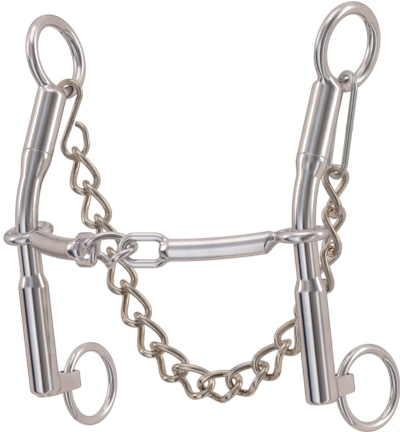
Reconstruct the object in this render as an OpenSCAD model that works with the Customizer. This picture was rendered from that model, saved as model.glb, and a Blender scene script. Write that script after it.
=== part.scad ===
// Curb bit with a loose-cheek jointed mouthpiece, rein rings, S-hook and curb chain.
// Millimetres. +X runs along the mouth axis, +Y is rearward, +Z is up.
// The origin is the midpoint between the two mouthpiece eyes.

/* [Mouthpiece] */
// Distance between the centres of the two slide rods
mouth_w = 127; // [110:1:150]
// Forward angle of each arm from the mouth axis
arm_angle = 27.3; // [10:0.1:40]
// Length of an arm from the rod centre to the outer end of its joint eye
arm_len = 66; // [50:0.5:80]
// Diameter of the bar of an arm
bar_d = 8.0; // [6:0.1:12]
// How far the joint eyes hang below the rod eyes
bar_drop = 5.6; // [0:0.1:12]
// Radius of the shallow upward bend of a bar
bar_bend_r = 230; // [80:5:400]
// Wire diameter of the eye that runs on the rod
eye_wire = 4.1; // [3:0.1:6]
// Centreline radius of the eye that runs on the rod
eye_r = 7.4; // [6:0.1:10]
// Forward tilt of the left rod eye
eye_tilt_left = 20; // [0:1:28]
// Forward tilt of the right rod eye
eye_tilt_right = 9; // [0:1:28]
// Wire diameter of the joint eye
joint_wire = 3.2; // [2:0.1:5]
// Centreline radius of the rounded ends of the joint eye
joint_r = 4.7; // [3:0.1:7]
// Length of the straight sides of the joint eye
joint_straight = 6.8; // [0:0.1:10]

/* [Centre link] */
// Wire diameter of the centre link
link_wire = 3.0; // [2:0.1:5]
// Half width of the centre link, measured to the wire centre
link_half_w = 5.2; // [3:0.1:7]
// Twist of each end of the centre link from its middle
link_twist = 66; // [0:1:80]
// Play of the centre link in the two joint eyes
link_play = 1.35; // [0.5:0.05:2]

/* [Cheeks] */
// Diameter of the slide rod
rod_d = 8.5; // [6:0.1:12]
// Diameter of the two barrels
barrel_d = 11.3; // [9:0.1:16]
// Rearward lean of the upper part of the cheek
lean_up = 19.9; // [0:0.1:25]
// Rearward lean of the lower part of the cheek
lean_down = 9.8; // [0:0.1:25]
// Bend radius of the slide rod
rod_bend_r = 40; // [20:1:100]
// Distance up from the bend to the start of the upper taper
up_taper = 11.3; // [10:0.1:18]
// Distance up from the bend to the joint under the upper barrel
up_joint = 21.2; // [18:0.1:26]
// Distance up from the bend to the top of the upper barrel
up_top = 46.6; // [40:0.1:54]
// Distance down from the bend to the start of the lower taper
down_taper = 24.0; // [18:0.1:32]
// Distance down from the bend to the top of the lower barrel
down_barrel = 28.3; // [22:0.1:36]
// Distance down from the bend to the bottom end
down_end = 69.2; // [50:0.1:80]

/* [Headstall rings] */
// Wire diameter of a headstall ring
head_wire = 4.7; // [4:0.1:7]
// Centreline radius of a headstall ring
head_r = 14; // [10:0.1:20]
// Height of the ring centre above the mouth axis
head_z = 65.5; // [50:0.5:80]
// Distance of the ring centre behind the mouth axis
head_y = 20; // [10:0.5:30]
// Distance of the ring centre outside its rod
head_out = 4.2; // [0:0.1:8]
// Outward lean of the rings
head_lean = 12.4; // [0:0.1:25]
// Outward turn of the rings
head_yaw = 3.5; // [0:0.1:10]

/* [Rein rings] */
// Wire diameter of a rein ring
rein_wire = 3.6; // [2.5:0.1:6]
// Centreline radius of a rein ring
rein_r = 13.85; // [10:0.05:20]
// Distance of the stub hole behind the mouth axis
stub_y = 22; // [18:0.1:28]
// Height of the middle of the left stub
stub_z_left = -54.6; // [-60:0.1:-45]
// Height of the middle of the right stub
stub_z_right = -52.6; // [-60:0.1:-45]
// Height of the stub
stub_h = 6.6; // [4:0.1:10]
// Width of the stub
stub_w = 8.8; // [6:0.1:12]
// Diameter of the upright hole in the stub
stub_hole = 5.7; // [4:0.1:7]
// Drop of the rein ring's centre below the middle of the stub
rein_drop = 1.8; // [0:0.1:2.2]
// Outward turn of the left rein ring
rein_yaw_left = 2.6; // [-10:0.1:10]
// Outward turn of the right rein ring
rein_yaw_right = 8.3; // [-10:0.1:10]

/* [Curb chain] */
// Number of curb links
curb_n = 16; // [10:1:20]
// Wire diameter of a curb link
curb_wire = 2.7; // [1.5:0.1:3]
// Half width of a curb link, measured to the wire centre
curb_half_w = 4.7; // [3:0.1:6]
// Twist of each end of a curb link from its middle
curb_twist = -45; // [-50:1:50]
// Roll of the curb links about the chain's line, left leg and foot of the loop
curb_roll_a = 96; // [0:1:180]
// Roll of the last curb link
curb_roll_b = 20; // [0:1:180]
// Distance of the chain behind the mouth axis
chain_y = 24; // [20:0.1:30]
// Play left where two loops of the bit hang in each other
play = 0.4; // [0.1:0.05:0.8]
// Play left where the S-hook hangs in the left headstall ring
ring_play = 0.9; // [0.2:0.05:1.2]
// Play left where the oval link hangs in the right headstall ring
oval_play = 1.5; // [0.2:0.05:2]

/* [S-hook] */
// Wire diameter of the S-hook
hook_wire = 2.3; // [1.4:0.1:3]
// Inner radius of the upper bend
hook_up_r = 3.5; // [3:0.1:6]
// Inner radius of the lower bend
hook_low_r = 3.6; // [3:0.1:6]
// Turn of the S-hook about its length
hook_turn = 18; // [-40:1:40]
// Place of the S-hook round the left headstall ring
hook_at = -70; // [-80:1:-40]

/* [Oval link] */
// Wire diameter of the oval link
oval_wire = 2.4; // [2:0.1:4]
// Half width of the oval link, measured to the wire centre
oval_half_w = 6.0; // [5:0.1:8]
// Turn of the oval link about its length
oval_turn = -25; // [-60:1:60]
// Place of the oval link round the right headstall ring
oval_at = -75; // [-80:1:-40]

/* [Hidden] */
$fn = 64;
steel = [0.78, 0.76, 0.76];
nickel = [0.76, 0.70, 0.62];
zinc = [0.74, 0.76, 0.72];
half_w = mouth_w / 2;
rod_r = rod_d / 2;
barrel_r = barrel_d / 2;

// ---- small maths ----
function unit(v) = v / norm(v);

// ---- the bend of the slide rod ----
// The two straight parts of the rod meet here, in the cheek's own Y-Z plane. The right
// cheek sits a little further back in its eye
bend_y = -2.3;
right_shift = 1.5;
bend_z = 9.28;
turn = lean_up + lean_down;
bend_trim = rod_bend_r * tan(turn / 2);

// ---- the points where the chain hangs ----
// Bearing point inside a headstall ring: side is -1 for left and 1 for right
function ring_point(side, at) =
    [side * (half_w + head_out), head_y, head_z]
    + (head_r - head_wire / 2) * (cos(at) * [side * sin(head_yaw), cos(head_yaw), 0]
    + sin(at) * [side * sin(head_lean) * cos(head_yaw), -sin(head_lean) * sin(head_yaw),
        cos(head_lean)]);
hang_left = ring_point(-1, hook_at);
hang_right = ring_point(1, oval_at);

// The chain hangs in a plane along the mouth axis, a stiff lopsided loop: these are points
// on its route as [x, z], from the foot of the S-hook to the foot of the oval link
route = [
    [-61.1, 29.5], [-49.7, 3.5], [-36.6, -21.2], [-21.5, -43.5], [1.5, -56],
    [25, -50], [42, -34], [56.5, -11], [59.5, 21.8]
];
last = len(route) - 1;
fine = 12;
// Point on the smooth curve through the route: whole numbers of t are the route's points
function route_at(t) =
    let (k = min(floor(t), last - 1))
    let (f = t - k)
    let (p1 = route[k])
    let (p2 = route[k + 1])
    let (p0 = k == 0 ? 2 * p1 - p2 : route[k - 1])
    let (p3 = k == last - 1 ? 2 * p2 - p1 : route[k + 2])
    let (c1 = (p2 - p0) / 2)
    let (c2 = p0 - 2.5 * p1 + 2 * p2 - p3 / 2)
    let (c3 = (p3 - p0) / 2 + 1.5 * (p1 - p2))
    p1 + f * (c1 + f * (c2 + f * c3));
curve = [for (i = [0 : last * fine]) route_at(i / fine)];
function run_to(i) = i == 0 ? 0 : run_to(i - 1) + norm(curve[i] - curve[i - 1]);
runs = [for (i = [0 : last * fine]) run_to(i)];
curb_pitch = runs[last * fine] / curb_n;
function step_at(s, i) = i + 1 < last * fine && runs[i + 1] < s ? step_at(s, i + 1) : i;
function chain_point(s) =
    let (i = step_at(s, 0))
    let (f = (s - runs[i]) / (runs[i + 1] - runs[i]))
    let (p = curve[i] + f * (curve[i + 1] - curve[i]))
    [p[0], chain_y, p[1]];
// Bearing point number i: 0 is the left ring, curb_n + 2 is the right ring
function bearing(i) =
    i == 0 ? hang_left
    : i == curb_n + 2 ? hang_right
    : chain_point((i - 1) * curb_pitch);
hook_len = norm(bearing(1) - hang_left);
oval_len = norm(hang_right - bearing(curb_n + 1));

// ---- wire swept round a closed centreline ----
function ring_frame(c, k) =
    let (m = len(c))
    let (t = unit(c[(k + 1) % m] - c[(k + m - 1) % m]))
    let (mid = (c[0] + c[floor(m / 2)]) / 2)
    let (o = c[k] - mid)
    let (n = unit(o - t * (o * t)))
    [n, cross(t, n)];
function sweep_points(c, r, sides) = [
    for (k = [0 : len(c) - 1])
        let (f = ring_frame(c, k))
        for (j = [0 : sides - 1])
            c[k] + r * (cos(360 * j / sides) * f[0] + sin(360 * j / sides) * f[1])
];
function sweep_faces(m, sides) = [
    for (k = [0 : m - 1])
        for (j = [0 : sides - 1])
            let (a = k * sides + j)
            let (b = k * sides + (j + 1) % sides)
            let (c = ((k + 1) % m) * sides + (j + 1) % sides)
            let (d = ((k + 1) % m) * sides + j)
            for (tri = [[a, c, b], [a, d, c]]) tri
];
module closed_wire(c, r, sides) {
    polyhedron(points = sweep_points(c, r, sides), faces = sweep_faces(len(c), sides));
}

// Stadium centreline as [along, across] pairs, starting at the far end's middle
function stadium(half_len, half_w, n_bend, n_side) = concat(
    [for (i = [0 : n_bend]) let (a = 180 * i / n_bend)
        [half_len - half_w + half_w * sin(a), half_w * cos(a)]],
    [for (i = [1 : n_side - 1]) let (f = i / n_side)
        [(half_len - half_w) * (1 - 2 * f), -half_w]],
    [for (i = [0 : n_bend]) let (a = 180 * i / n_bend)
        [-(half_len - half_w) - half_w * sin(a), -half_w * cos(a)]],
    [for (i = [1 : n_side - 1]) let (f = i / n_side)
        [-(half_len - half_w) * (1 - 2 * f), half_w]]
);
// The same curve in space, twisted about its length
function twisted(flat, mid, dir, e1, e2, half_len, roll, twist) = [
    for (p = flat)
        let (a = roll + twist * sin(90 * p[0] / half_len))
        mid + dir * p[0] + (cos(a) * e1 + sin(a) * e2) * p[1]
];

// ---- wire swept along an open centreline with rounded ends ----
function path_dir(c, k) =
    k == 0 ? unit(c[1] - c[0])
    : k == len(c) - 1 ? unit(c[k] - c[k - 1])
    : unit(c[k + 1] - c[k - 1]);
// The centreline lies in one plane, whose normal is given
module open_wire(c, r, sides, normal) {
    m = len(c);
    t0 = path_dir(c, 0);
    t1 = path_dir(c, m - 1);
    path = concat([c[0] - t0 * r * 0.8], [c[0] - t0 * r * 0.45], c,
        [c[m - 1] + t1 * r * 0.45], [c[m - 1] + t1 * r * 0.8]);
    size = concat([r * 0.6, r * 0.9], [for (k = [1 : m]) r], [r * 0.9, r * 0.6]);
    n = len(path);
    points = concat(
        [for (k = [0 : n - 1])
            let (t = path_dir(path, k))
            let (u = cross(t, normal))
            for (j = [0 : sides - 1])
                path[k] + size[k] * (cos(360 * j / sides) * normal + sin(360 * j / sides) * u)],
        [c[0] - t0 * r, c[m - 1] + t1 * r]
    );
    faces = concat(
        [for (k = [0 : n - 2])
            for (j = [0 : sides - 1])
                let (p = k * sides + j)
                let (q = k * sides + (j + 1) % sides)
                for (tri = [[p, q, q + sides], [p, q + sides, p + sides]]) tri],
        [for (j = [0 : sides - 1]) [n * sides, (j + 1) % sides, j]],
        [for (j = [0 : sides - 1])
            [n * sides + 1, (n - 1) * sides + j, (n - 1) * sides + (j + 1) % sides]]
    );
    polyhedron(points = points, faces = faces);
}

// ---- a part of a torus, a straight wire and a turned solid ----
module wire_arc(r, wire, from, sweep) {
    rotate([0, 0, from])
        rotate_extrude(angle = sweep)
            translate([r, 0]) circle(d = wire, $fn = 48);
}
module wire_rod(a, b, wire) {
    d = b - a;
    translate(a)
        rotate([0, acos(d[2] / norm(d)), atan2(d[1], d[0])])
            cylinder(d = wire, h = norm(d), $fn = 48);
}
// Solid of revolution through [radius, height] points, closed onto its axis
module turned(profile) {
    rotate_extrude()
        polygon(concat(
            [[0, profile[0][1]]], profile, [[0, profile[len(profile) - 1][1]]]
        ));
}
// Smooth step from 0 to 1
function ease(f) = f * f * (3 - 2 * f);
function taper(r1, z1, r2, z2, n) = [
    for (i = [0 : n]) [r1 + (r2 - r1) * ease(i / n), z1 + (z2 - z1) * i / n]
];

// ---- cheeks ----
// The bend is this much fatter than the straights that run into it
seam = 0.02;
module bent_rod(y) {
    mid_dir = (lean_up - lean_down) / 2;
    translate([0, y, bend_z])
        rotate([-mid_dir, 0, 0])
            translate([0, rod_bend_r / cos(turn / 2), 0])
                rotate([0, 90, 0])
                    rotate([0, 0, -90 - turn / 2])
                        rotate_extrude(angle = turn)
                            translate([rod_bend_r, 0]) circle(d = rod_d + 2 * seam);
}
module up_axis(y) {
    translate([0, y, bend_z]) rotate([-lean_up, 0, 0]) children();
}
module down_axis(y) {
    translate([0, y, bend_z]) rotate([180 + lean_down, 0, 0]) children();
}
// The stub stands square on the lower barrel, its end just past the hole
module stub_plate(stub_z) {
    half = stub_w / 2;
    translate([0, stub_y, stub_z])
        rotate([lean_down, 0, 0])
            translate([0, 0, -stub_h / 2])
                linear_extrude(stub_h)
                    polygon(concat(
                        [[half, -12], [half, 0.6]],
                        [for (i = [1 : 15]) [half * cos(12 * i), 0.6 + half * sin(12 * i)]],
                        [[-half, -12]]
                    ));
}
module shank(y, stub_z) {
    difference() {
        union() {
            bent_rod(y);
            up_axis(y) turned(concat(
                [[rod_r, bend_trim - 0.7]],
                taper(rod_r, up_taper, barrel_r, up_joint, 5)
            ));
            down_axis(y) turned(concat(
                [[rod_r, bend_trim - 0.7]],
                taper(rod_r, down_taper, barrel_r, down_barrel, 4),
                [[barrel_r, down_end - 2], [barrel_r - 0.7, down_end - 0.7],
                    [barrel_r - 2, down_end]]
            ));
            stub_plate(stub_z);
        }
        translate([0, stub_y, stub_z - stub_h]) cylinder(d = stub_hole, h = 2 * stub_h);
    }
}
// The left side's top: outward is -X
module cheek_top(y) {
    up_axis(y) turned([
        [barrel_r, up_joint], [barrel_r, up_top - 3],
        [barrel_r - 0.7, up_top - 1.2], [barrel_r - 2, up_top]
    ]);
    translate([-head_out, head_y, head_z])
        rotate([0, -head_lean, head_yaw])
            rotate([0, 90, 0])
                rotate_extrude() translate([head_r, 0]) circle(d = head_wire);
}
module cheek_left_top() {
    color(steel) translate([-half_w, 0, 0]) cheek_top(bend_y);
}
module cheek_left_shank() {
    color(steel) translate([-half_w, 0, 0]) shank(bend_y, stub_z_left);
}
module cheek_right_top() {
    color(steel) mirror([1, 0, 0]) translate([-half_w, 0, 0])
        cheek_top(bend_y + right_shift);
}
module cheek_right_shank() {
    color(steel) mirror([1, 0, 0]) translate([-half_w, 0, 0])
        shank(bend_y + right_shift, stub_z_right);
}

// ---- rein rings ----
// Distance of the ring's centre behind its hole, with the wire centred in the hole
rein_low = rein_drop + stub_h / 2;
rein_back = (rein_r + sqrt(rein_r * rein_r - rein_low * rein_low)) / 2;
module rein_ring(stub_z, turned_out) {
    translate([0, stub_y, stub_z - rein_drop])
        rotate([0, 0, turned_out])
            translate([0, rein_back, 0])
                rotate([0, 90, 0])
                    rotate_extrude() translate([rein_r, 0]) circle(d = rein_wire);
}
module rein_ring_left() {
    color(steel) translate([-half_w, 0, 0]) rein_ring(stub_z_left, rein_yaw_left);
}
module rein_ring_right() {
    color(steel) translate([half_w, 0, 0]) rein_ring(stub_z_right, -rein_yaw_right);
}

// ---- mouthpiece arms ----
bar_end = arm_len - 2 * joint_r - joint_straight - joint_wire / 2;
bar_start = 13;
eye_mid = arm_len - joint_wire / 2 - joint_r - joint_straight / 2;
function bar_z(s) =
    s > bar_end ? -bar_drop
    : -bar_drop + bar_bend_r - sqrt(bar_bend_r * bar_bend_r - (bar_end - s) * (bar_end - s));
module bar(eye_tilt) {
    sweep = asin((bar_end - bar_start) / bar_bend_r);
    start_z = bar_z(bar_start);
    eye_edge = -eye_r * sin(arm_angle) * sin(eye_tilt);
    // curved bar
    translate([bar_end, 0, bar_bend_r - bar_drop])
        rotate([90, 0, 0])
            rotate([0, 0, -90 - sweep])
                rotate_extrude(angle = sweep)
                    translate([bar_bend_r, 0]) circle(d = bar_d + 2 * seam);
    // rounded weld that runs the bar into the joint eye
    translate([bar_end - 1, 0, -bar_drop])
        rotate([0, 90, 0])
            turned([
                [bar_d / 2, 0], [bar_d / 2, 1.5], [bar_d / 2 - 0.4, 2.6],
                [bar_d / 2 - 1.3, 3.6], [bar_d / 2 - 2.6, 4.3]
            ]);
    // neck from the rod eye to the bar
    run = norm([bar_start - eye_r, eye_edge - start_z]);
    translate([eye_r, 0, eye_edge])
        rotate([0, 90 + atan2(eye_edge - start_z, bar_start - eye_r), 0])
            turned(concat(
                [[eye_wire / 2 - 0.15, 0]],
                taper(eye_wire / 2 - 0.15, 1.2, bar_d / 2 - 0.1, run, 5),
                [[bar_d / 2 - 0.1, run + 0.7]]
            ));
}
module joint_eye() {
    translate([eye_mid, 0, -bar_drop])
        rotate([90, 0, 0]) {
            translate([joint_straight / 2, 0, 0]) wire_arc(joint_r, joint_wire, -90, 180);
            translate([-joint_straight / 2, 0, 0]) wire_arc(joint_r, joint_wire, 90, 180);
            for (s = [-1, 1])
                wire_rod([-joint_straight / 2, s * joint_r, 0],
                    [joint_straight / 2, s * joint_r, 0], joint_wire);
        }
}
module rod_eye(eye_tilt) {
    rotate([eye_tilt, 0, 0])
        rotate_extrude() translate([eye_r, 0]) circle(d = eye_wire);
}
module arm(eye_tilt) {
    rod_eye(eye_tilt);
    rotate([0, 0, -arm_angle]) bar(eye_tilt);
    rotate([0, 0, -arm_angle]) joint_eye();
}
module mouth_arm_left() {
    color(steel) translate([-half_w, 0, 0]) arm(eye_tilt_left);
}
module mouth_arm_right() {
    color(steel) mirror([1, 0, 0]) translate([-half_w, 0, 0]) arm(eye_tilt_right);
}

// ---- centre link ----
// Bearing point of the centre link in a joint eye: side is -1 for left
function joint_point(side) =
    let (s = arm_len - joint_wire)
    [side * (half_w - s * cos(arm_angle)), -s * sin(arm_angle), -bar_drop];
module centre_link() {
    a = joint_point(-1);
    b = joint_point(1);
    half_len = (norm(b - a) + link_wire + link_play) / 2;
    flat = stadium(half_len, link_half_w, 12, 8);
    curve = twisted(flat, (a + b) / 2, unit(b - a), [0, -1, 0], [0, 0, 1],
        half_len, 90, link_twist);
    color(steel) closed_wire(curve, link_wire / 2, 14);
}

// ---- S-hook ----
// Puts a flat piece at a bearing point: local Y is up the hang line, local X is its width
module hang(a, b, turned) {
    d = unit(a - b);
    w0 = [cos(turned), sin(turned), 0];
    w = unit(w0 - d * (w0 * d));
    n = cross(w, d);
    multmatrix([
        [w[0], d[0], n[0], a[0]],
        [w[1], d[1], n[1], a[1]],
        [w[2], d[2], n[2], a[2]],
        [0, 0, 0, 1]
    ]) children();
}
// Points on an arc about [0, y], from one angle to another
function arc_points(r, y, from, to, n) = [
    for (i = [0 : n])
        let (a = from + (to - from) * i / n)
        [r * cos(a), y + r * sin(a), 0]
];
module s_hook_flat() {
    r1 = hook_up_r + hook_wire / 2;
    r2 = hook_low_r + hook_wire / 2;
    y1 = ring_play / 2 - hook_up_r;
    y2 = -hook_len - play / 2 + hook_low_r;
    lean = asin((r1 + r2) / (y1 - y2));
    side = 3.2;
    // upper bend open to the left, slanting shaft, lower bend, side and curled tip
    path = concat(
        arc_points(r1, y1, 205, -lean, 22),
        [[0, (y1 + y2) / 2, 0]],
        arc_points(r2, y2, 180 - lean, 360, 20),
        arc_points(r2, y2 + side, 0, 68, 8)
    );
    open_wire(path, hook_wire / 2, 10, [0, 0, 1]);
}
module s_hook() {
    color(nickel) hang(bearing(0), bearing(1), hook_turn) s_hook_flat();
}

// ---- oval link ----
module oval_flat() {
    r = oval_half_w;
    top = oval_play / 2 + oval_wire / 2 - r;
    low = -oval_len - play / 2 - oval_wire / 2 + r;
    translate([0, top, 0]) wire_arc(r, oval_wire, 0, 180);
    translate([0, low, 0]) wire_arc(r, oval_wire, 180, 180);
    for (s = [-1, 1])
        wire_rod([s * r, low, 0], [s * r, top, 0], oval_wire);
}
module oval_link() {
    color(zinc) hang(bearing(curb_n + 2), bearing(curb_n + 1), oval_turn) oval_flat();
}

// ---- curb chain ----
module curb_link(i) {
    a = bearing(i);
    b = bearing(i + 1);
    d = unit(b - a);
    e1 = [0, 1, 0];
    e2 = cross(d, e1);
    half_len = (norm(b - a) + curb_wire + play) / 2;
    roll = curb_roll_a + (curb_roll_b - curb_roll_a) * max(0, i - 9) / (curb_n - 9);
    flat = stadium(half_len, curb_half_w, 10, 8);
    curve = twisted(flat, (a + b) / 2, d, e1, e2, half_len, roll, curb_twist);
    color(nickel) closed_wire(curve, curb_wire / 2, 9);
}

cheek_left_top();
cheek_left_shank();
cheek_right_top();
cheek_right_shank();
rein_ring_left();
rein_ring_right();
mouth_arm_left();
mouth_arm_right();
centre_link();
s_hook();
oval_link();
curb_link(1);  // curb_link_01
curb_link(2);  // curb_link_02
curb_link(3);  // curb_link_03
curb_link(4);  // curb_link_04
curb_link(5);  // curb_link_05
curb_link(6);  // curb_link_06
curb_link(7);  // curb_link_07
curb_link(8);  // curb_link_08
curb_link(9);  // curb_link_09
curb_link(10);  // curb_link_10
curb_link(11);  // curb_link_11
curb_link(12);  // curb_link_12
curb_link(13);  // curb_link_13
curb_link(14);  // curb_link_14
curb_link(15);  // curb_link_15
curb_link(16);  // curb_link_16
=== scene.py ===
"""Curb bit: polished cheeks, satin jointed mouthpiece, rein rings and a nickel curb chain.

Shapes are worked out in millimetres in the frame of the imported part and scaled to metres
when a mesh is made. +X runs along the mouth axis, +Y is rearward and +Z is up.
"""
import math

import bpy
import numpy as np
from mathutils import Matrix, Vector


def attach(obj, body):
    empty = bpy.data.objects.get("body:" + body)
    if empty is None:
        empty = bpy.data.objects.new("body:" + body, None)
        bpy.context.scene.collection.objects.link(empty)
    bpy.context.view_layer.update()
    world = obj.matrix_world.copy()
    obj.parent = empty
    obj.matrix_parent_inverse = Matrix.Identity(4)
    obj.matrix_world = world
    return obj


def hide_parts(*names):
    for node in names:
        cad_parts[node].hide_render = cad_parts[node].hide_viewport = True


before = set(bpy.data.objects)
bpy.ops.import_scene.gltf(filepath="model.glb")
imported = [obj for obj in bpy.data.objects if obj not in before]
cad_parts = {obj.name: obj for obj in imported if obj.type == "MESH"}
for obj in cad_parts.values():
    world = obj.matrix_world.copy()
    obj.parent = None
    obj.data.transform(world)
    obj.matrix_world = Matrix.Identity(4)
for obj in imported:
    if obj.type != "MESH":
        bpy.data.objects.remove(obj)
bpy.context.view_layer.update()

MM = 0.001
X_AXIS = np.array([1.0, 0.0, 0.0])
Y_AXIS = np.array([0.0, 1.0, 0.0])
Z_AXIS = np.array([0.0, 0.0, 1.0])

# ---- driving dimensions, in millimetres and degrees ----
HALF_W = 63.5
ARM_ANGLE = 27.3
ARM_LEN = 66.0
BAR_D = 8.0
BAR_DROP = 5.6
BAR_BEND_R = 230.0
BAR_START = 13.0
EYE_WIRE = 4.1
EYE_R = 7.4
EYE_TILT = {-1: 20.0, 1: 9.0}
JOINT_WIRE = 3.2
JOINT_R = 4.7
JOINT_STRAIGHT = 6.8
LINK_WIRE = 3.0
LINK_HALF_W = 5.2
LINK_TWIST = 66.0
LINK_PLAY = 1.35
ROD_D = 8.5
BARREL_D = 11.3
LEAN_UP = 19.9
LEAN_DOWN = 9.8
ROD_BEND_R = 40.0
BEND_Y = -2.3
RIGHT_SHIFT = 1.5
BEND_Z = 9.28
UP_TAPER = 11.3
UP_JOINT = {-1: 21.2, 1: 18.2}
UP_TOP = 46.6
DOWN_TAPER = 24.0
DOWN_BARREL = 28.3
DOWN_END = 69.2
HEAD_WIRE = 4.7
HEAD_R = 14.0
HEAD_Z = 65.5
HEAD_Y = 20.0
HEAD_OUT = 4.2
HEAD_LEAN = 12.4
HEAD_YAW = 3.5
REIN_WIRE = 3.6
REIN_R = 13.85
STUB_Y = 22.0
STUB_Z = {-1: -54.6, 1: -52.6}
STUB_H = 6.6
STUB_W = 8.8
STUB_HOLE = 5.7
REIN_DROP = 1.8
REIN_YAW = {-1: 2.6, 1: 8.3}
CURB_N = 16
CURB_WIRE = 2.7
CURB_HALF_W = 4.7
CURB_TWIST = -45.0
CURB_ROLL_A = 96.0
CURB_ROLL_B = 20.0
CHAIN_Y = 24.0
PLAY = 0.4
RING_PLAY = 0.9
HOOK_WIRE = 2.3
HOOK_UP_R = 3.5
HOOK_LOW_R = 3.6
HOOK_TURN = 18.0
HOOK_AT = -70.0
OVAL_WIRE = 2.4
OVAL_HALF_W = 6.0
OVAL_TURN = -25.0
OVAL_AT = -75.0
OVAL_PLAY = 1.5

# Broken edges and the reach of soft welds, in millimetres
JOINT_EDGE = 0.22
FOOT_EDGE = 1.9
SHOULDER_EDGE = 2.8
STUB_EDGE = 0.9
BAR_EDGE = 1.4
STUB_WELD = 1.6
RING_WELD = 2.4
ROD_EYE_WELD = 1.6
JOINT_EYE_WELD = 1.5

# Shift of the tapers' soft ends from the CAD's straight ones
TAPER_LAP = 1.0
FOOT_TAPER_LAP = 1.2

# The stub's straight sides, ahead of and behind its hole
STUB_ROOT = 12.0
STUB_REACH = 0.6

# The bar starts a little thinner than the rod eye's wire, and it is drawn down to the joint eye
NECK_INSET = 0.2
NECK_START = 1.0
BAR_WELD_DROP = 2.2
BAR_WELD_START = 1.5
BAR_WELD_RUN = 5.5
BAR_LAP = 3.0

# The centre link is this much slimmer than the CAD's, so that it clears the right arm at its limit
LINK_SLACK = 0.06

# The last of the links that hang with the first roll
CURB_ROLL_FROM = 9

# The straight run in the S-hook's lower curl, and the butt weld's bead on the oval link
HOOK_SIDE = 3.2
OVAL_BEAD = 0.14
OVAL_BEAD_WIDTH = 0.9

GRID = 0.3


# ---- small maths ----
def deg(angle):
    return math.radians(angle)


def unit(v):
    v = np.asarray(v, float)
    return v / np.linalg.norm(v)


def ease(f):
    f = np.clip(f, 0.0, 1.0)
    return f * f * (3 - 2 * f)


def mirrored(points, side):
    """Points of the left side, taken to the side wanted: -1 is left and 1 is right."""
    return points * np.array([-side, 1.0, 1.0])


# ---- meshes ----
def make_piece(name, points, faces, normals=None):
    """A smooth mesh object from points in millimetres."""
    mesh = bpy.data.meshes.new(name)
    mesh.from_pydata((np.asarray(points) * MM).tolist(), [], faces)
    mesh.update()
    mesh.polygons.foreach_set("use_smooth", [True] * len(mesh.polygons))
    if normals is not None:
        mesh.normals_split_custom_set_from_vertices(np.asarray(normals).tolist())
    piece = bpy.data.objects.new(name, mesh)
    bpy.context.scene.collection.objects.link(piece)
    return piece


def dress(piece, material, slot, body, *nodes):
    """Gives a piece its material and its body, and hides the CAD nodes it stands for."""
    piece.data.materials.append(material)
    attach(piece, body)
    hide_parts(*nodes)
    return piece


def gradient(distance, points, h=0.01):
    parts = []
    for axis in (X_AXIS, Y_AXIS, Z_AXIS):
        step = axis * h
        parts.append((distance(points + step) - distance(points - step)) / (2 * h))
    return np.stack(parts, axis=-1)


def grid_values(distance, axes):
    """The distance function on the grid, one layer of it at a time."""
    y, z = np.meshgrid(axes[1], axes[2], indexing="ij")
    layers = []
    for x in axes[0]:
        points = np.stack([np.full_like(y, x), y, z], axis=-1).reshape(-1, 3)
        layers.append(distance(points).reshape(y.shape))
    return np.array(layers)


def grid_quads(inside, index):
    """A quad across every grid edge that leaves the solid."""
    quads = []
    for axis in range(3):
        a = np.moveaxis(inside, axis, 0)
        c = np.moveaxis(index, axis, 0)
        edge = a[:-1] != a[1:]
        i, j, k = np.nonzero(edge[:, 1:-1, 1:-1])
        j, k = j + 1, k + 1
        quad = np.stack([c[i, j - 1, k - 1], c[i, j, k - 1], c[i, j, k], c[i, j - 1, k]], axis=-1)
        outward = a[i, j, k] if axis != 1 else ~a[i, j, k]
        quad[~outward] = quad[~outward][:, ::-1]
        quads.append(quad)
    return np.concatenate(quads)


def skin(name, distance, low, high, step):
    """A mesh on the zero surface of a distance function, between two corners."""
    axes = [np.arange(a - 2 * step, b + 3 * step, step) for a, b in zip(low, high)]
    inside = grid_values(distance, axes) < 0
    count = sum(
        inside[i:len(axes[0]) - 1 + i, j:len(axes[1]) - 1 + j, k:len(axes[2]) - 1 + k].astype(int)
        for i in (0, 1) for j in (0, 1) for k in (0, 1)
    )
    cells = np.argwhere((count > 0) & (count < 8))
    index = np.full(count.shape, -1)
    index[tuple(cells.T)] = np.arange(len(cells))
    corner = np.array([a[0] for a in axes])
    points = corner + (cells + 0.5) * step
    for _ in range(4):
        slope = gradient(distance, points)
        size = np.maximum((slope * slope).sum(-1), 0.2)
        move = slope * (distance(points) / size)[:, None]
        reach = np.maximum(np.linalg.norm(move, axis=-1, keepdims=True) / step, 1.0)
        points = points - move / reach
    normals = gradient(distance, points)
    normals /= np.linalg.norm(normals, axis=-1, keepdims=True)
    return make_piece(name, points, grid_quads(inside, index).tolist(), normals)


# ---- distance functions: negative inside, in millimetres ----
def smooth_min(a, b, reach):
    h = np.clip(0.5 + 0.5 * (b - a) / reach, 0.0, 1.0)
    return b * (1 - h) + a * h - reach * h * (1 - h)


def to_axis(p, base, axis):
    """Distance along an axis and distance from it."""
    q = p - base
    along = q @ axis
    away = np.sqrt(np.maximum((q * q).sum(-1) - along * along, 1e-12))
    return along, away


def rounded(x, y, edge):
    """A corner of this radius between two faces at x = 0 and y = 0."""
    x, y = x + edge, y + edge
    return np.hypot(np.maximum(x, 0), np.maximum(y, 0)) + np.minimum(np.maximum(x, y), 0) - edge


def torus(p, centre, normal, radius, wire):
    along, away = to_axis(p, centre, normal)
    return np.hypot(away - radius, along) - wire / 2


def stadium_wire(p, centre, direction, normal, half, radius, wire):
    """Wire bent to a loop with straight sides along a direction."""
    q = p - centre
    u, n = q @ direction, q @ normal
    w = q @ np.cross(normal, direction)
    u = np.abs(u) - half
    ring = np.where(u > 0, np.hypot(np.maximum(u, 0), w) - radius, np.abs(w) - radius)
    return np.hypot(ring, n) - wire / 2


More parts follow.
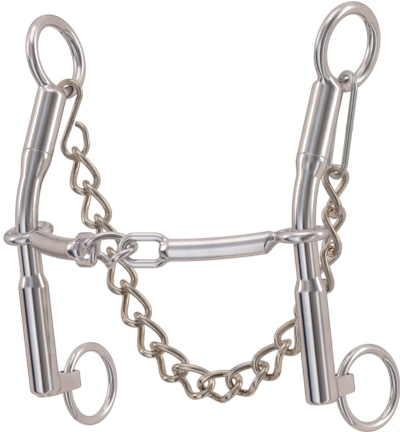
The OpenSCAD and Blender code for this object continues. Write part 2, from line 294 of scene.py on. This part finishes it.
# ---- cheeks ----
BEND = np.array([0.0, BEND_Y, BEND_Z])
UP = np.array([0.0, math.sin(deg(LEAN_UP)), math.cos(deg(LEAN_UP))])
DOWN = np.array([0.0, math.sin(deg(LEAN_DOWN)), -math.cos(deg(LEAN_DOWN))])
BEND_TRIM = ROD_BEND_R * math.tan(deg((LEAN_UP + LEAN_DOWN) / 2))
BEND_CENTRE = BEND + unit(UP + DOWN) * ROD_BEND_R / math.cos(deg((LEAN_UP + LEAN_DOWN) / 2))
RING_CENTRE = np.array([-HEAD_OUT, HEAD_Y, HEAD_Z])
RING_BACK = np.array([-math.sin(deg(HEAD_YAW)), math.cos(deg(HEAD_YAW)), 0.0])
RING_OUT = np.array([-math.cos(deg(HEAD_YAW)), -math.sin(deg(HEAD_YAW)), 0.0])
RING_UP = RING_OUT * math.sin(deg(HEAD_LEAN)) + Z_AXIS * math.cos(deg(HEAD_LEAN))
RING_NORMAL = np.cross(RING_BACK, RING_UP)


def barrel_radius(along, taper_from, taper_to):
    share = ease((along - taper_from) / (taper_to - taper_from))
    return ROD_D / 2 + (BARREL_D - ROD_D) / 2 * share


def rod_bend(p):
    """The curved middle of the slide rod, as distance from its centreline."""
    q = p - BEND_CENTRE
    ring = np.hypot(q[:, 1], q[:, 2]) - ROD_BEND_R
    return np.hypot(ring, q[:, 0])


def rod_distance(p, joint):
    """Slide rod with its two tapers and the lower barrel."""
    up, up_away = to_axis(p, BEND, UP)
    down, down_away = to_axis(p, BEND, DOWN)
    away = np.where(up > BEND_TRIM, up_away, np.where(down > BEND_TRIM, down_away, rod_bend(p)))
    radius = np.where(
        up > BEND_TRIM,
        barrel_radius(up, UP_TAPER - TAPER_LAP, joint - TAPER_LAP),
        barrel_radius(down, DOWN_TAPER, DOWN_BARREL + FOOT_TAPER_LAP),
    )
    side = away - radius
    foot = rounded(side, down - DOWN_END, FOOT_EDGE)
    return np.where(up > 0, rounded(side, up - joint, JOINT_EDGE), foot)


def stub_distance(p, height):
    """Flat tongue with a round end, square on the lower barrel."""
    q = p - np.array([0.0, STUB_Y, height])
    back = np.array([0.0, math.cos(deg(LEAN_DOWN)), math.sin(deg(LEAN_DOWN))])
    y, z = q @ back, q @ np.cross(X_AXIS, back)
    flat = np.hypot(p[:, 0], y - np.clip(y, -STUB_ROOT, STUB_REACH)) - STUB_W / 2
    return rounded(flat, np.abs(z) - STUB_H / 2, STUB_EDGE)


def shank_distance(p, shift, joint, height):
    body = smooth_min(rod_distance(p - shift * Y_AXIS, joint), stub_distance(p, height), STUB_WELD)
    hole = np.hypot(p[:, 0], p[:, 1] - STUB_Y) - STUB_HOLE / 2
    return np.maximum(body, -hole)


def top_distance(p, shift, joint):
    """Upper barrel, flowing into the headstall ring."""
    up, away = to_axis(p - shift * Y_AXIS, BEND, UP)
    middle = (joint + UP_TOP) / 2
    end = np.abs(up - middle) - (UP_TOP - joint) / 2
    shoulder = np.where(up > middle, SHOULDER_EDGE, JOINT_EDGE)
    barrel = rounded(away - BARREL_D / 2, end, shoulder)
    ring = torus(p, RING_CENTRE, RING_NORMAL, HEAD_R, HEAD_WIRE)
    return smooth_min(barrel, ring, RING_WELD)


def build_cheek(side, name, steel):
    def place(p):
        return mirrored(p - np.array([side * HALF_W, 0, 0]), side)

    x = side * HALF_W
    shift = RIGHT_SHIFT if side > 0 else 0.0
    reach = BARREL_D / 2 + 1
    shank = skin(
        name + "_shank_skin", lambda p: shank_distance(place(p), shift, UP_JOINT[side], STUB_Z[side]),
        (x - reach, -8, -62), (x + reach, STUB_Y + STUB_W / 2 + 2, 32), GRID,
    )
    dress(shank, steel, "polished_steel", name, name + "_shank")
    out = x + side * (HEAD_OUT + 5)
    top = skin(
        name + "_top_skin", lambda p: top_distance(place(p), shift, UP_JOINT[side]),
        (min(x - reach, out - 3), -2, 22), (max(x + reach, out + 3), 38, 83), GRID,
    )
    dress(top, steel, "polished_steel", name, name + "_top")


# ---- mouthpiece arms ----
BAR_END = ARM_LEN - 2 * JOINT_R - JOINT_STRAIGHT - JOINT_WIRE / 2
EYE_MID = ARM_LEN - JOINT_WIRE / 2 - JOINT_R - JOINT_STRAIGHT / 2
ARM_DIR = np.array([math.cos(deg(ARM_ANGLE)), -math.sin(deg(ARM_ANGLE)), 0.0])
ARM_SIDE = np.array([math.sin(deg(ARM_ANGLE)), math.cos(deg(ARM_ANGLE)), 0.0])


def bar_height(s, edge):
    """Height of the bar's middle: edge is where its neck leaves the rod eye."""
    run = np.clip(BAR_END - s, 0, BAR_END - BAR_START)
    sag = BAR_BEND_R - np.sqrt(BAR_BEND_R ** 2 - run ** 2)
    start = -BAR_DROP + BAR_BEND_R - math.sqrt(BAR_BEND_R ** 2 - (BAR_END - BAR_START) ** 2)
    neck = edge + (start - edge) * (s - EYE_R) / (BAR_START - EYE_R)
    return np.where(s < BAR_START, neck, -BAR_DROP + sag)


def bar_size(s):
    """Half thickness of the bar along its run: neck, bar, then the drawn-down weld."""
    thin = EYE_WIRE / 2 - NECK_INSET
    start = EYE_R + NECK_START
    neck = thin + (BAR_D / 2 - thin) * ease((s - start) / (BAR_START - start))
    drop = BAR_WELD_DROP * ease((s - BAR_END + BAR_WELD_START) / BAR_WELD_RUN)
    return neck - drop


def arm_distance(p, tilt):
    normal = np.array([0.0, -math.sin(deg(tilt)), math.cos(deg(tilt))])
    edge = -EYE_R * math.sin(deg(ARM_ANGLE)) * math.sin(deg(tilt))
    s, w, z = p @ ARM_DIR, p @ ARM_SIDE, p[:, 2]
    size = bar_size(s)
    across = np.hypot(w, z - bar_height(s, edge)) - size
    end = BAR_END + BAR_LAP
    inside = np.abs(s - (EYE_R + end) / 2) - (end - EYE_R) / 2
    bar = rounded(across, inside, BAR_EDGE)
    rod_eye = torus(p, np.zeros(3), normal, EYE_R, EYE_WIRE)
    centre = ARM_DIR * EYE_MID - Z_AXIS * BAR_DROP
    eye = stadium_wire(p, centre, ARM_DIR, ARM_SIDE, JOINT_STRAIGHT / 2, JOINT_R, JOINT_WIRE)
    return smooth_min(smooth_min(bar, rod_eye, ROD_EYE_WELD), eye, JOINT_EYE_WELD)


def build_arm(side, name, steel):
    def place(p):
        return mirrored(p - np.array([side * HALF_W, 0, 0]), side)

    far = side * (HALF_W - ARM_LEN * math.cos(deg(ARM_ANGLE))) - side * 4
    near = side * (HALF_W + EYE_R + EYE_WIRE / 2 + 1)
    arm = skin(
        name + "_skin", lambda p: arm_distance(place(p), EYE_TILT[side]),
        (min(far, near), -36, -14), (max(far, near), 11, 6), GRID,
    )
    dress(arm, steel, "satin_steel", name, name)


# ---- swept wires ----
def stadium(half_len, half_w, n_bend, n_side):
    """A closed loop with straight sides, as points along and across its length."""
    straight = half_len - half_w
    bend = [math.pi * i / n_bend for i in range(n_bend + 1)]
    run = [1 - 2 * i / n_side for i in range(1, n_side)]
    loop = [(straight + half_w * math.sin(a), half_w * math.cos(a)) for a in bend]
    loop += [(straight * f, -half_w) for f in run]
    loop += [(-straight - half_w * math.sin(a), -half_w * math.cos(a)) for a in bend]
    loop += [(-straight * f, half_w) for f in run]
    return np.array(loop)


def twisted(flat, middle, direction, e1, e2, half_len, roll, twist):
    angle = np.radians(roll + twist * np.sin(math.pi / 2 * flat[:, 0] / half_len))[:, None]
    across = np.cos(angle) * e1 + np.sin(angle) * e2
    return middle + direction * flat[:, :1] + across * flat[:, 1:]


def closed_frames(line):
    ahead = np.roll(line, -1, 0) - np.roll(line, 1, 0)
    ahead /= np.linalg.norm(ahead, axis=1, keepdims=True)
    out = line - (line[0] + line[len(line) // 2]) / 2
    out -= ahead * (out * ahead).sum(1, keepdims=True)
    out /= np.linalg.norm(out, axis=1, keepdims=True)
    return out, np.cross(ahead, out)


def closed_wire(name, line, radius, sides):
    """Round wire swept along a closed line. radius may change along it."""
    out, up = closed_frames(line)
    radius = np.broadcast_to(radius, (len(line),))[:, None, None]
    turn = 2 * math.pi * np.arange(sides) / sides
    ring = np.cos(turn)[None, :, None] * out[:, None] + np.sin(turn)[None, :, None] * up[:, None]
    points = (line[:, None] + radius * ring).reshape(-1, 3)
    count = len(line)
    faces = []
    for k in range(count):
        for j in range(sides):
            a, b = k * sides + j, k * sides + (j + 1) % sides
            shift = ((k + 1) % count - k) * sides
            faces.append((a, a + shift, b + shift, b))
    return make_piece(name, points, faces)


def open_wire(name, line, radius, sides, normal):
    """Round wire swept along an open flat line, with rounded ends."""
    ahead = np.gradient(line, axis=0)
    ahead /= np.linalg.norm(ahead, axis=1, keepdims=True)
    caps = [deg(a) for a in (15, 40, 65)]
    tail = [line[0] - ahead[0] * radius * 0.6 * math.cos(a) for a in caps]
    head = [line[-1] + ahead[-1] * radius * 0.6 * math.cos(a) for a in reversed(caps)]
    path = np.array(tail + list(line) + head)
    way = np.array([ahead[0]] * 3 + list(ahead) + [ahead[-1]] * 3)
    ends = [radius * math.sin(a) for a in caps]
    size = np.array(ends + [radius] * len(line) + ends[::-1])
    up = np.cross(way, normal)
    turn = 2 * math.pi * np.arange(sides) / sides
    ring = np.cos(turn)[None, :, None] * normal + np.sin(turn)[None, :, None] * up[:, None]
    points = (path[:, None] + size[:, None, None] * ring).reshape(-1, 3)
    faces = []
    for k in range(len(path) - 1):
        for j in range(sides):
            a, b = k * sides + j, k * sides + (j + 1) % sides
            faces.append((a, b, b + sides, a + sides))
    last = (len(path) - 1) * sides
    faces.append(tuple(reversed(range(sides))))
    faces.append(tuple(range(last, last + sides)))
    return make_piece(name, points, faces)


def circle(centre, e1, e2, radius, count):
    turn = 2 * math.pi * np.arange(count)[:, None] / count
    return centre + radius * (np.cos(turn) * e1 + np.sin(turn) * e2)


def build_rein_ring(side, name, steel):
    yaw = deg(REIN_YAW[side])
    low = REIN_DROP + STUB_H / 2
    reach = (REIN_R + math.sqrt(REIN_R ** 2 - low ** 2)) / 2
    back = np.array([side * math.sin(yaw), math.cos(yaw), 0.0])
    centre = np.array([side * HALF_W, STUB_Y, STUB_Z[side] - REIN_DROP]) + back * reach
    ring = closed_wire(name + "_wire", circle(centre, back, Z_AXIS, REIN_R, 128), REIN_WIRE / 2, 24)
    dress(ring, steel, "polished_steel", name, name)


def joint_point(side):
    s = ARM_LEN - JOINT_WIRE
    return np.array([
        side * (HALF_W - s * math.cos(deg(ARM_ANGLE))), -s * math.sin(deg(ARM_ANGLE)), -BAR_DROP,
    ])


def build_centre_link(steel):
    a, b = joint_point(-1), joint_point(1)
    half_len = (np.linalg.norm(b - a) + LINK_WIRE + LINK_PLAY) / 2
    flat = stadium(half_len, LINK_HALF_W, 32, 24)
    line = twisted(flat, (a + b) / 2, unit(b - a), -Y_AXIS, Z_AXIS, half_len, 90, LINK_TWIST)
    link = closed_wire("centre_link_wire", line, LINK_WIRE / 2 - LINK_SLACK, 20)
    dress(link, steel, "satin_steel", "centre_link", "centre_link")


# ---- the hanging chain ----
def ring_point(side, at):
    """Bearing point inside a headstall ring."""
    centre = np.array([-HEAD_OUT - HALF_W, HEAD_Y, HEAD_Z])
    reach = HEAD_R - HEAD_WIRE / 2
    point = centre + reach * (math.cos(deg(at)) * RING_BACK + math.sin(deg(at)) * RING_UP)
    return mirrored(point, side)


# Points on the stiff, lopsided route of the chain, along the mouth axis and upwards
ROUTE = np.array([
    (-61.1, 29.5), (-49.7, 3.5), (-36.6, -21.2), (-21.5, -43.5), (1.5, -56.0),
    (25.0, -50.0), (42.0, -34.0), (56.5, -11.0), (59.5, 21.8),
])
FINE = 12


def route_curve():
    """A smooth curve through the route's points, and the run to each point of it."""
    before = 2 * ROUTE[0] - ROUTE[1]
    after = 2 * ROUTE[-1] - ROUTE[-2]
    full = np.vstack([before, ROUTE, after])
    points = []
    for k in range(len(ROUTE) - 1):
        p0, p1, p2, p3 = full[k:k + 4]
        c1 = (p2 - p0) / 2
        c2 = p0 - 2.5 * p1 + 2 * p2 - p3 / 2
        c3 = (p3 - p0) / 2 + 1.5 * (p1 - p2)
        points += [p1 + f * (c1 + f * (c2 + f * c3)) for f in np.arange(FINE) / FINE]
    points = np.array(points + [ROUTE[-1]])
    steps = np.linalg.norm(np.diff(points, axis=0), axis=1)
    return points, np.concatenate([[0.0], np.cumsum(steps)])


HANG_LEFT = ring_point(-1, HOOK_AT)
HANG_RIGHT = ring_point(1, OVAL_AT)
CURVE, RUNS = route_curve()


def bearing(i):
    """Bearing point number i, from the left ring (0) to the right ring (CURB_N + 2)."""
    if i == 0:
        return HANG_LEFT
    if i == CURB_N + 2:
        return HANG_RIGHT
    run = (i - 1) * RUNS[-1] / CURB_N
    return np.array([np.interp(run, RUNS, CURVE[:, 0]), CHAIN_Y, np.interp(run, RUNS, CURVE[:, 1])])


def build_curb_link(i, nickel):
    a, b = bearing(i), bearing(i + 1)
    direction = unit(b - a)
    e1 = Y_AXIS
    e2 = np.cross(direction, e1)
    half_len = (np.linalg.norm(b - a) + CURB_WIRE + PLAY) / 2
    share = max(0, i - CURB_ROLL_FROM) / (CURB_N - CURB_ROLL_FROM)
    roll = CURB_ROLL_A + (CURB_ROLL_B - CURB_ROLL_A) * share
    flat = stadium(half_len, CURB_HALF_W, 22, 14)
    line = twisted(flat, (a + b) / 2, direction, e1, e2, half_len, roll, CURB_TWIST)
    node = f"curb_link_{i:02d}"
    link = closed_wire(node + "_wire", line, CURB_WIRE / 2, 14)
    dress(link, nickel, "chain_nickel", node, node)


def hang_axes(a, b, turned):
    """Axes of a flat piece hanging from a towards b: its width, its up and its normal."""
    up = unit(a - b)
    width = np.array([math.cos(deg(turned)), math.sin(deg(turned)), 0.0])
    width = unit(width - up * (width @ up))
    return width, up, np.cross(width, up)


def arc(radius, y, start, stop, count):
    angles = [deg(start + (stop - start) * i / count) for i in range(count + 1)]
    return [(radius * math.cos(a), y + radius * math.sin(a)) for a in angles]


def build_s_hook(nickel):
    r1 = HOOK_UP_R + HOOK_WIRE / 2
    r2 = HOOK_LOW_R + HOOK_WIRE / 2
    y1 = RING_PLAY / 2 - HOOK_UP_R
    length = np.linalg.norm(bearing(1) - bearing(0))
    y2 = -length - PLAY / 2 + HOOK_LOW_R
    lean = math.degrees(math.asin((r1 + r2) / (y1 - y2)))
    flat = arc(r1, y1, 205, -lean, 40) + [(0, (y1 + y2) / 2)]
    flat += arc(r2, y2, 180 - lean, 360, 36) + arc(r2, y2 + HOOK_SIDE, 0, 68, 14)
    width, up, normal = hang_axes(bearing(0), bearing(1), HOOK_TURN)
    line = np.array([bearing(0) + width * x + up * y for x, y in flat])
    hook = open_wire("s_hook_wire", line, HOOK_WIRE / 2, 18, normal)
    dress(hook, nickel, "chain_nickel", "s_hook", "s_hook")


def build_oval_link(zinc):
    top = OVAL_PLAY / 2 + OVAL_WIRE / 2
    length = np.linalg.norm(bearing(CURB_N + 2) - bearing(CURB_N + 1))
    low = -length - PLAY / 2 - OVAL_WIRE / 2
    width, up, normal = hang_axes(bearing(CURB_N + 2), bearing(CURB_N + 1), OVAL_TURN)
    flat = stadium((top - low) / 2, OVAL_HALF_W, 32, 40)
    middle = bearing(CURB_N + 2) + up * (top + low) / 2
    line = middle + up * flat[:, :1] + width * flat[:, 1:]
    bead = OVAL_BEAD * np.exp(-((flat[:, 0] / OVAL_BEAD_WIDTH) ** 2)) * (flat[:, 1] > 0)
    link = closed_wire("oval_link_wire", line, OVAL_WIRE / 2 + bead, 20)
    dress(link, zinc, "link_zinc", "oval_link", "oval_link")


# ---- materials ----
# How much finer the scratches are than the mottled tone, and their depth in metres
FINE_GRAIN = 14
SCRATCH_DEPTH = 0.0001


def metal(name, light, dark, roughness, grain, scratch):
    """Bare metal with a mottled tone and fine handling marks."""
    material = bpy.data.materials.new(name)
    material.use_nodes = True
    nodes, links = material.node_tree.nodes, material.node_tree.links
    shader = nodes["Principled BSDF"]
    shader.inputs["Metallic"].default_value = 1.0
    place = nodes.new("ShaderNodeTexCoord")
    mottle = nodes.new("ShaderNodeTexNoise")
    mottle.inputs["Scale"].default_value = grain
    mottle.inputs["Detail"].default_value = 3.0
    tone = nodes.new("ShaderNodeValToRGB")
    tone.color_ramp.elements[0].position = 0.35
    tone.color_ramp.elements[0].color = (*dark, 1)
    tone.color_ramp.elements[1].position = 0.65
    tone.color_ramp.elements[1].color = (*light, 1)
    fine = nodes.new("ShaderNodeTexNoise")
    fine.inputs["Scale"].default_value = grain * FINE_GRAIN
    fine.inputs["Detail"].default_value = 4.0
    gloss = nodes.new("ShaderNodeMapRange")
    gloss.inputs["To Min"].default_value = roughness * 0.75
    gloss.inputs["To Max"].default_value = roughness * 1.3
    bump = nodes.new("ShaderNodeBump")
    bump.inputs["Strength"].default_value = scratch
    bump.inputs["Distance"].default_value = SCRATCH_DEPTH
    links.new(place.outputs["Object"], mottle.inputs["Vector"])
    links.new(place.outputs["Object"], fine.inputs["Vector"])
    links.new(mottle.outputs["Fac"], tone.inputs["Fac"])
    links.new(tone.outputs["Color"], shader.inputs["Base Color"])
    links.new(mottle.outputs["Fac"], gloss.inputs["Value"])
    links.new(gloss.outputs["Result"], shader.inputs["Roughness"])
    links.new(fine.outputs["Fac"], bump.inputs["Height"])
    links.new(bump.outputs["Normal"], shader.inputs["Normal"])
    return material


def polished_steel():
    return metal("polished_steel", (0.74, 0.71, 0.705), (0.62, 0.595, 0.60), 0.13, 70, 0.05)


def satin_steel():
    return metal("satin_steel", (0.74, 0.70, 0.695), (0.62, 0.60, 0.62), 0.20, 90, 0.12)


def chain_nickel():
    return metal("chain_nickel", (0.68, 0.60, 0.52), (0.50, 0.43, 0.36), 0.13, 120, 0.06)


def link_zinc():
    return metal("link_zinc", (0.62, 0.63, 0.60), (0.48, 0.50, 0.47), 0.22, 90, 0.12)


# ---- stage ----
CAMERA_AZIMUTH = 39.0
CAMERA_DISTANCE = 1.4
CAMERA_RIGHT = 0.0136
CAMERA_UP = 0.0064
SENSOR_MM = 36.0
LENS_MM = 326.667
FLOOR_Z = -0.35
FLOOR_R = 2.6
FLOOR_TONE = (0.93, 0.93, 0.93)
FLOOR_GLOW = (0.97, 0.98, 1.0)
FLOOR_GLOW_STRENGTH = 0.14


def build_camera():
    data = bpy.data.cameras.new("camera")
    data.sensor_width = SENSOR_MM
    data.lens = LENS_MM
    data.clip_start = 0.1
    data.clip_end = 50.0
    camera = bpy.data.objects.new("camera", data)
    a = deg(CAMERA_AZIMUTH)
    ahead = Vector((-math.sin(a), math.cos(a), 0.0))
    right = Vector((math.cos(a), math.sin(a), 0.0))
    camera.location = -ahead * CAMERA_DISTANCE + right * CAMERA_RIGHT + Vector((0, 0, CAMERA_UP))
    camera.rotation_euler = ahead.to_track_quat("-Z", "Y").to_euler()
    bpy.context.scene.collection.objects.link(camera)
    bpy.context.scene.camera = camera


def ramp(nodes, stops):
    node = nodes.new("ShaderNodeValToRGB")
    node.color_ramp.interpolation = "EASE"
    elements = node.color_ramp.elements
    while len(elements) < len(stops):
        elements.new(0.5)
    for element, (place, colour) in zip(elements, stops):
        element.position = place
        element.color = (*colour, 1)
    return node


WHITE = (1.25, 1.25, 1.25)
PINK = (0.74, 0.65, 0.61)
GREY = (0.36, 0.345, 0.34)
BROWN = (0.17, 0.145, 0.135)
NAVY = (0.012, 0.016, 0.035)
ICE = (0.62, 0.66, 0.76)

SKY = (0.80, 0.76, 0.74)
BACKDROP = (1.0, 1.0, 1.0)

# What the metal mirrors all round, by shares of a full turn: 0 and 1 lie behind the bit, as the
# camera sees it, 0.5 lies behind the camera and 0.75 lies to its right
ROOM_HIGH = [
    (0.00, PINK), (0.07, GREY), (0.11, PINK), (0.17, PINK), (0.25, WHITE), (0.31, PINK),
    (0.38, GREY), (0.45, ICE), (0.50, GREY), (0.57, BROWN), (0.64, GREY), (0.69, WHITE),
    (0.73, WHITE), (0.78, PINK), (0.88, PINK), (0.93, GREY), (1.00, PINK),
]
ROOM_LOW = [
    (0.00, PINK), (0.05, PINK), (0.09, BROWN), (0.13, PINK), (0.22, PINK), (0.26, NAVY),
    (0.29, NAVY), (0.33, ICE), (0.44, WHITE), (0.475, NAVY), (0.50, BROWN), (0.59, GREY),
    (0.63, WHITE), (0.67, GREY), (0.72, PINK), (0.86, PINK), (0.91, BROWN), (0.95, PINK),
    (1.00, PINK),
]
# Height of a direction (-1 straight down, 1 straight up) over which one part of the room fades
# into the next
LOW_TO_HIGH = (-0.12, 0.22)
HIGH_TO_SKY = (0.55, 0.85)


def fade(nodes, links, height, span):
    """0 below a span of heights and 1 above it."""
    node = nodes.new("ShaderNodeMapRange")
    node.interpolation_type = "SMOOTHSTEP"
    node.inputs["From Min"].default_value = span[0]
    node.inputs["From Max"].default_value = span[1]
    links.new(height, node.inputs["Value"])
    return node.outputs["Result"]


def blend(nodes, links, share, first, second):
    """Goes from the first colour to the second one, which may be a plain value."""
    node = nodes.new("ShaderNodeMix")
    node.data_type = "RGBA"
    links.new(share, node.inputs["Factor"])
    links.new(first, node.inputs["A"])
    if isinstance(second, tuple):
        node.inputs["B"].default_value = (*second, 1)
    else:
        links.new(second, node.inputs["B"])
    return node.outputs["Result"]


def turn_share(nodes, links, parts):
    """Direction round the vertical as a share of a full turn."""
    flip = nodes.new("ShaderNodeMath")
    flip.operation = "MULTIPLY"
    flip.inputs[1].default_value = -1.0
    angle = nodes.new("ShaderNodeMath")
    angle.operation = "ARCTAN2"
    share = nodes.new("ShaderNodeMapRange")
    share.inputs["From Min"].default_value = -math.pi
    share.inputs["From Max"].default_value = math.pi
    links.new(parts.outputs["Y"], flip.inputs[0])
    links.new(parts.outputs["X"], angle.inputs[0])
    links.new(flip.outputs["Value"], angle.inputs[1])
    links.new(angle.outputs["Value"], share.inputs["Value"])
    return share.outputs["Result"]


def build_world():
    """A pale studio: what the metal mirrors is lighter above and streaked lower down."""
    world = bpy.data.worlds.new("studio")
    world.use_nodes = True
    nodes, links = world.node_tree.nodes, world.node_tree.links
    nodes.clear()
    place = nodes.new("ShaderNodeTexCoord")
    turn = nodes.new("ShaderNodeVectorRotate")
    turn.rotation_type = "Z_AXIS"
    turn.inputs["Angle"].default_value = -deg(CAMERA_AZIMUTH)
    parts = nodes.new("ShaderNodeSeparateXYZ")
    links.new(place.outputs["Generated"], turn.inputs["Vector"])
    links.new(turn.outputs["Vector"], parts.inputs["Vector"])
    share = turn_share(nodes, links, parts)
    high = ramp(nodes, ROOM_HIGH)
    low = ramp(nodes, ROOM_LOW)
    links.new(share, high.inputs["Fac"])
    links.new(share, low.inputs["Fac"])
    height = parts.outputs["Z"]
    level = fade(nodes, links, height, LOW_TO_HIGH)
    room = blend(nodes, links, level, low.outputs["Color"], high.outputs["Color"])
    sky = blend(nodes, links, fade(nodes, links, height, HIGH_TO_SKY), room, SKY)
    seen = nodes.new("ShaderNodeLightPath")
    back = blend(nodes, links, seen.outputs["Is Camera Ray"], sky, BACKDROP)
    shade = nodes.new("ShaderNodeBackground")
    out = nodes.new("ShaderNodeOutputWorld")
    links.new(back, shade.inputs["Color"])
    links.new(shade.outputs["Background"], out.inputs["Surface"])
    bpy.context.scene.world = world


# Name, azimuth and elevation in degrees, distance and size in metres, power in watts
SOFTBOXES = [
    ("softbox_top", 20, 70, 1.2, (0.9, 0.9), 1.5),
    ("softbox_left", -45, 15, 1.3, (0.12, 0.9), 0.6),
    ("softbox_right", 118, 20, 1.3, (0.14, 0.9), 0.7),
]


def build_softbox(name, azimuth, elevation, distance, size, power):
    """A soft area light that looks at the bit. Azimuth 0 is in front of it, 90 to its right."""
    data = bpy.data.lights.new(name, "AREA")
    data.shape = "RECTANGLE"
    data.size, data.size_y = size
    data.energy = power
    lamp = bpy.data.objects.new(name, data)
    a, e = deg(azimuth), deg(elevation)
    back = Vector((math.sin(a) * math.cos(e), -math.cos(a) * math.cos(e), math.sin(e)))
    lamp.location = back * distance
    lamp.rotation_euler = (-back).to_track_quat("-Z", "Y").to_euler()
    bpy.context.scene.collection.objects.link(lamp)


def build_floor():
    material = bpy.data.materials.new("floor_paper")
    material.use_nodes = True
    shader = material.node_tree.nodes["Principled BSDF"]
    shader.inputs["Base Color"].default_value = (*FLOOR_TONE, 1)
    shader.inputs["Roughness"].default_value = 0.9
    shader.inputs["Emission Color"].default_value = (*FLOOR_GLOW, 1)
    shader.inputs["Emission Strength"].default_value = FLOOR_GLOW_STRENGTH
    outline = circle(Z_AXIS * FLOOR_Z / MM, X_AXIS, Y_AXIS, FLOOR_R / MM, 64)
    floor = make_piece("floor", outline, [tuple(range(len(outline)))])
    floor.data.materials.append(material)
    floor.visible_glossy = False


def build_stage():
    build_camera()
    build_world()
    build_floor()
    for lamp in SOFTBOXES:
        build_softbox(*lamp)
    bpy.context.scene.view_settings.view_transform = "Standard"


# ---- build ----
steel = polished_steel()
satin = satin_steel()
nickel = chain_nickel()
for side, name in ((-1, "left"), (1, "right")):
    build_cheek(side, "cheek_" + name, steel)
    build_rein_ring(side, "rein_ring_" + name, steel)
    build_arm(side, "mouth_arm_" + name, satin)
build_centre_link(satin)
build_s_hook(nickel)
build_oval_link(link_zinc())
for number in range(1, CURB_N + 1):
    build_curb_link(number, nickel)
build_stage()
